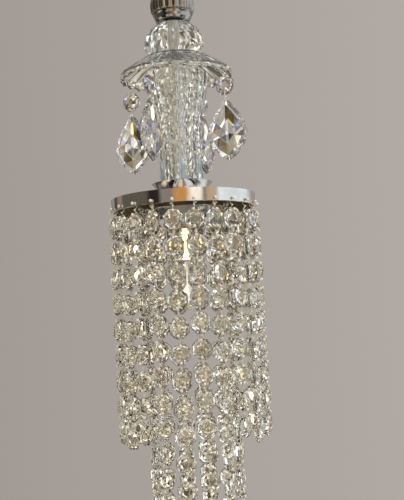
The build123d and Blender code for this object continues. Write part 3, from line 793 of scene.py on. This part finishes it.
def dish_shape():
    """Long hollow panels that slope to an upright lip with a scalloped edge."""
    low, high = box_mm("glass_dish")
    rim, top, lip_r = low.z, high.z, high.x
    lip_top = rim + DISH_LIP_H
    count = 2 * DISH_PETALS
    shape = Shape()
    corners = ((DISH_TOP_R, top, DISH_TOP), (DISH_TOP_R, top, DISH_SHOULDER),
               (lip_r, lip_top, DISH_HAUNCH), (lip_r, lip_top, DISH_CORNER),
               (lip_r, rim + DISH_EDGE, DISH_FACE))
    outside = [shape.ring(hollowed(count, r + out, z + up, cut, 0))
               for r, z, (out, up, cut) in corners]
    shape.skin(outside)
    inner_r = lip_r - DISH_T
    lean = math.atan2(top - lip_top, lip_r - DISH_TOP_R)
    inner_top = DISH_TOP_R - DISH_T * math.tan(lean / 2)
    inner_lip = lip_top - DISH_T * math.tan((math.pi / 2 - lean) / 2)
    edge = shape.ring(scalloped(lip_r - DISH_EDGE_IN, rim))
    edge_in = shape.ring(scalloped(inner_r, rim))
    shape.fan(edge, outside[-1])
    shape.band(edge, edge_in)
    under = [(inner_r, rim + DISH_EDGE), (inner_r, inner_lip), (inner_top, top - DISH_T),
             (TUBE_HOLE_R, top - DISH_T), (TUBE_HOLE_R, top)]
    rings = [shape.ring(circle(count, r, z)) for r, z in under]
    shape.fan(edge_in, rings[0])
    shape.skin(rings + outside[:1])
    return shape


def vase_radius(z, foot, mouth_r, mouth):
    """Straight below, then opening like a tulip to the mouth."""
    start = foot + VASE_COLUMN_H
    up = max((z - start) / (mouth - start), 0) ** VASE_FLARE_BEND
    return VASE_COLUMN_R + (mouth_r - VASE_COLUMN_R) * up * up * (3 - 2 * up)


def vase_flutes(foot):
    """A cutter for long pointed V cuts that rise from the foot."""
    shape = Shape()
    slope = VASE_FLUTE_W / 2 / VASE_FLUTE_DEPTH
    outer = VASE_COLUMN_R + VASE_FLUTE_CLEAR
    for i in range(VASE_FLUTES):
        place = spin(270 + 360 * i / VASE_FLUTES)
        ends = []
        for depth, z in ((VASE_FLUTE_DEPTH, foot - 1), (VASE_FLUTE_TIP, foot + VASE_FLUTE_H)):
            wide = slope * (depth + VASE_FLUTE_CLEAR)
            corners = [(VASE_COLUMN_R - depth, 0, z), (outer, wide, z), (outer, -wide, z)]
            ends.append(shape.ring([place @ Vector(c) for c in corners]))
        shape.band(*ends)
        shape.faces += [tuple(ends[0]), tuple(ends[1])]
    return shape.mesh("flutes")


def is_flute(face):
    """True for the wide sides of a V cut, which face outwards."""
    radial = Vector((face.center.x, face.center.y, 0)).normalized()
    return face.area / MM ** 2 > FLUTE_FACE_AREA and face.normal.dot(radial) > FLUTE_FACING


def vase_mesh():
    """A column of cut diamonds that flares to a plain mouth, with V cuts from its foot."""
    low, high = box_mm("glass_vase")
    foot, mouth, mouth_r = low.z, high.z, high.x
    shape = Shape()
    rows = []
    for j in range(VASE_ROWS + 1):
        z = foot + (mouth - VASE_LIP_H - foot) * j / VASE_ROWS
        low_part = max(1 - (z - foot) / VASE_FOOT_H, 0)
        r = vase_radius(z, foot, mouth_r, mouth) + VASE_FOOT_FLARE * low_part ** 1.5
        edge = j in (0, VASE_ROWS)
        rows.append((r - (0 if edge else VASE_CUT), r, z))
    base, lip = shape.diamonds(rows, VASE_DIAMONDS)
    flare_h = mouth - foot - VASE_COLUMN_H
    levels = [mouth] + [mouth - flare_h * share for share in VASE_INSIDE] + [foot + VASE_FLOOR_T]
    walls = [VASE_LIP_T] + [VASE_WALL] * (len(levels) - 1)
    rings = [lip]
    for z, wall in zip(levels, walls):
        r = vase_radius(z, foot, mouth_r, mouth) - wall
        rings.append(shape.ring(circle(VASE_DIAMONDS, r, z)))
    for z in (foot + VASE_FLOOR_T, foot):
        rings.append(shape.ring(circle(VASE_DIAMONDS, TUBE_HOLE_R, z)))
    shape.skin(rings + [base])
    return carved(shape.mesh("vase"), vase_flutes(foot))


def shade_sheet_shape():
    """Painted shade inside the pan: a dull sheet on its inner wall and under its plate."""
    low, high = box_mm("ring_pan")
    wall_r = high.x - BAND_T - SHADE_SHEET_GAP
    under = high.z - PAN_PLATE_T - SHADE_SHEET_GAP
    edge = low.z + SHADE_SHEET_UP
    rows = [(wall_r, edge), (wall_r, under), (PAN_HOLE_R, under), (PAN_HOLE_R, under - SHADE_SHEET_T),
            (wall_r - SHADE_SHEET_T, under - SHADE_SHEET_T), (wall_r - SHADE_SHEET_T, edge)]
    shape = Shape()
    shape.skin([shape.ring(circle(SHADE_SHEET_SIDES, r, z)) for r, z in rows], closed=True)
    return shape


def build_stem():
    """The cut and fluted pieces on the frame."""
    piece("fluted_stem", stem_shape().mesh("fluted_stem"), "frame", "dark_chrome", ("stem_cup",),
          smooth=True)
    piece("cut_ball", ball_shape().mesh("cut_ball"), "frame", "crystal", ("glass_ball",),
          finish="pressed_glass")
    # A petal of the dish stands over each drop
    dish = dish_shape().mesh("cut_dish")
    dish.transform(hung_at("drop_1").to_3x3().to_4x4())
    piece("cut_dish", dish, "frame", "crystal", ("glass_dish",), finish="pressed_glass")
    vase = piece("cut_vase", vase_mesh(), "frame", "crystal", ("glass_vase",),
                 finish="pressed_glass")
    # The V cuts' wide faces get the blue-grey painted reflection
    second_finish(vase, "flute_painted_reflection", [is_flute(face) for face in vase.data.polygons])
    # A dark sheet of painted shade inside the chrome pan
    piece("pan_painted_shade", shade_sheet_shape().mesh("pan_painted_shade"), "frame", "chrome", finish="pan_painted_shade")


def build_strands():
    bead = bead_shape()
    for i in range(OUTER_STRANDS):
        strand(f"outer_strand_{i + 1:02d}", i, OUTER_BEADS, bead)
    for i in range(INNER_STRANDS):
        strand(f"inner_strand_{i + 1:02d}", i + OUTER_STRANDS, INNER_BEADS, bead)
    pendalogue = pendalogue_shape()
    for i in range(DROPS):
        drop(f"drop_{i + 1}", bead, pendalogue)


# ---------------------------------------------------------------- stage, light and camera

# Colours of the room that glass and metal show
DARK, OLIVE, BRONZE = (0.025, 0.021, 0.017), (0.115, 0.100, 0.075), (0.26, 0.22, 0.18)
AMBER, CREAM, PEACH = (0.62, 0.30, 0.10), (1.0, 0.86, 0.66), (0.62, 0.46, 0.33)
GLARE, UMBER = (1.15, 1.03, 0.88), (0.40, 0.29, 0.20)
SKY, GREY, WALL = (0.86, 0.93, 0.94), (0.20, 0.19, 0.18), (0.38, 0.345, 0.318)

# Upright stripes, as shares of a turn from -X by way of -Y, +X and +Y
STRIPES_AHEAD = [
    (0.000, OLIVE), (0.085, OLIVE), (0.100, DARK), (0.140, DARK), (0.160, BRONZE),
    (0.200, BRONZE), (0.225, AMBER), (0.262, AMBER), (0.290, GLARE), (0.325, GLARE),
    (0.345, BRONZE), (0.365, PEACH), (0.400, PEACH), (0.415, SKY), (0.580, SKY), (0.640, WALL),
    (0.700, WALL), (0.712, DARK), (0.730, WALL), (0.790, WALL), (0.802, DARK), (0.820, WALL),
    (0.860, GREY), (0.875, DARK), (0.900, BRONZE), (0.930, BRONZE), (0.945, OLIVE)]
STRIPES_BEYOND = [
    (0.000, CREAM), (0.030, DARK), (0.110, DARK), (0.130, SKY), (0.165, SKY), (0.180, BRONZE),
    (0.195, CREAM), (0.240, CREAM), (0.265, UMBER), (0.300, UMBER), (0.325, SKY), (0.400, SKY),
    (0.415, DARK), (0.440, DARK), (0.455, BRONZE), (0.520, BRONZE), (0.540, SKY), (0.600, SKY),
    (0.640, WALL), (0.820, WALL), (0.840, DARK), (0.920, DARK), (0.950, CREAM)]

# Small things of the room by their noise, in warm and in cool light
WARM_THINGS = [
    (0.36, (0.030, 0.025, 0.014)), (0.43, (0.14, 0.115, 0.075)), (0.46, (0.38, 0.335, 0.265)),
    (0.53, (0.44, 0.395, 0.33)), (0.57, (0.80, 0.74, 0.60)), (0.63, (1.6, 1.48, 1.25))]
COOL_THINGS = [
    (0.36, (0.055, 0.053, 0.050)), (0.42, (0.20, 0.19, 0.18)), (0.46, (0.44, 0.41, 0.38)),
    (0.53, (0.50, 0.48, 0.46)), (0.56, (0.95, 0.97, 0.98)), (0.62, (1.9, 2.0, 2.1))]
THINGS_SCALE = 10.3

# The plain wall behind the object, from its left to its right
WALL_RAMP = [(0.0, (0.360, 0.320, 0.292)), (1.0, (0.440, 0.402, 0.370))]

EVEN_LIGHT = (1.0, 0.97, 0.94, 1)
EVEN_STRENGTH = 0.7


def metal_room(tree, direction, z):
    """What metal shows: other stripes far below and far above than ahead."""
    turn = add_node(tree, "ShaderNodeTexGradient", {"Vector": direction}, gradient_type="RADIAL")
    ahead = add_ramp(tree, turn.outputs["Fac"], STRIPES_AHEAD)
    beyond = add_ramp(tree, turn.outputs["Fac"], STRIPES_BEYOND)
    lower = add_mix(tree, add_step(tree, z, -0.45, -0.30), beyond, ahead)
    return add_mix(tree, add_step(tree, z, 0.45, 0.70), lower, beyond)


def glass_room(tree, direction, x):
    """What cut glass shows everywhere: small bright and dark things, warm left, cool right."""
    things = add_node(tree, "ShaderNodeTexNoise",
                      {"Vector": direction, "Scale": THINGS_SCALE, "Detail": 3.0}).outputs["Fac"]
    return add_mix(tree, add_step(tree, x, -0.1, 0.6), add_ramp(tree, things, WARM_THINGS),
                   add_ramp(tree, things, COOL_THINGS))


def make_world():
    """Even light for matt surfaces, a room for metal and one for glass, and a plain wall."""
    world = bpy.data.worlds.new("studio")
    bpy.context.scene.world = world
    world.use_nodes = True
    tree = world.node_tree
    tree.nodes.clear()
    direction = add_node(tree, "ShaderNodeTexCoord").outputs["Generated"]
    parts = add_node(tree, "ShaderNodeSeparateXYZ", {"Vector": direction})
    x, z = parts.outputs["X"], parts.outputs["Z"]
    rays = add_node(tree, "ShaderNodeLightPath")
    shader = add_node(tree, "ShaderNodeBackground",
                      {"Color": EVEN_LIGHT, "Strength": EVEN_STRENGTH}).outputs["Background"]
    for kind, colour in (("Is Glossy Ray", metal_room(tree, direction, z)),
                         ("Is Transmission Ray", glass_room(tree, direction, x)),
                         ("Is Camera Ray", add_ramp(tree, add_step(tree, x, -0.2, 0.2), WALL_RAMP))):
        shown = add_node(tree, "ShaderNodeBackground", {"Color": colour, "Strength": 1.0})
        shader = add_node(tree, "ShaderNodeMixShader", {
            0: rays.outputs[kind], 1: shader, 2: shown.outputs["Background"]}).outputs["Shader"]
    output = add_node(tree, "ShaderNodeOutputWorld")
    tree.links.new(shader, output.inputs["Surface"])


# Below and beyond what the camera sees
FLOOR_R = 700.0
FLOOR_Z = -1300.0


def make_floor():
    material, tree, shader = new_material("pale_floor")
    colour = add_ramp(tree, object_noise(tree, 3),
                      [(0.3, (0.60, 0.57, 0.53)), (0.7, (0.66, 0.63, 0.59))])
    tree.links.new(colour, shader.inputs["Base Color"])
    shader.inputs["Roughness"].default_value = 0.6
    shape = Shape()
    shape.faces.append(tuple(shape.ring(circle(64, FLOOR_R, FLOOR_Z))))
    mesh = shape.mesh("floor")
    mesh.materials.append(material)
    floor = bpy.data.objects.new("floor", mesh)
    bpy.context.scene.collection.objects.link(floor)


# Disk lamps: place and size in metres, watts and colour
LAMPS = (("key", (1.1, -1.2, 0.6), 0.7, 14, (1.0, 0.97, 0.93)),
         ("fill", (-1.4, -0.9, 0.1), 0.35, 5, (1.0, 0.95, 0.90)),
         ("rim", (0.9, 1.2, 0.2), 0.4, 6, (0.90, 0.95, 1.0)),
         ("top", (0.1, -0.2, 1.1), 0.5, 6, (1.0, 0.98, 0.95)))
LAMP_TARGET = (0, 0, -0.3)


def make_lights():
    """Lamps that glass and metal don't show."""
    for name, place, size, watts, colour in LAMPS:
        data = bpy.data.lights.new(name, "AREA")
        data.shape = "DISK"
        data.size = size
        data.energy = watts
        data.color = colour
        obj = bpy.data.objects.new(name, data)
        bpy.context.scene.collection.objects.link(obj)
        obj.location = place
        aim = Vector(LAMP_TARGET) - Vector(place)
        obj.rotation_mode = "QUATERNION"
        obj.rotation_quaternion = aim.to_track_quat("-Z", "Y")
        obj.visible_glossy = False
        obj.visible_transmission = False


# The photograph's camera, fitted to the pan, dish, ball and strands
IMAGE_H = 500
FOCAL_PX = 1055
CAMERA_BACK = 1000.0
CAMERA_LEVEL = -400.0
CAMERA_YAW = 0.88
CAMERA_PITCH = 4.98
CAMERA_ROLL = -3.3


def make_camera():
    data = bpy.data.cameras.new("camera")
    data.sensor_width = 36
    data.lens = FOCAL_PX / IMAGE_H * data.sensor_width
    camera = bpy.data.objects.new("camera", data)
    bpy.context.scene.collection.objects.link(camera)
    bpy.context.scene.camera = camera
    yaw, pitch, roll = (math.radians(a) for a in (CAMERA_YAW, CAMERA_PITCH, CAMERA_ROLL))
    ahead = Vector((math.sin(yaw) * math.cos(pitch), math.cos(yaw) * math.cos(pitch),
                    math.sin(pitch)))
    right = Vector((math.cos(yaw), -math.sin(yaw), 0))
    up = right.cross(ahead)
    tilted = right * math.cos(roll) + up * math.sin(roll)
    axes = Matrix((tilted, tilted.cross(ahead), -ahead)).transposed()
    camera.matrix_world = (Matrix.Translation(Vector((0, -CAMERA_BACK, CAMERA_LEVEL)) * MM)
                           @ axes.to_4x4())


finish_cad_nodes()
build_stem()
build_strands()
make_world()
make_floor()
make_lights()
make_camera()

bpy.context.scene.view_settings.view_transform = "Standard"
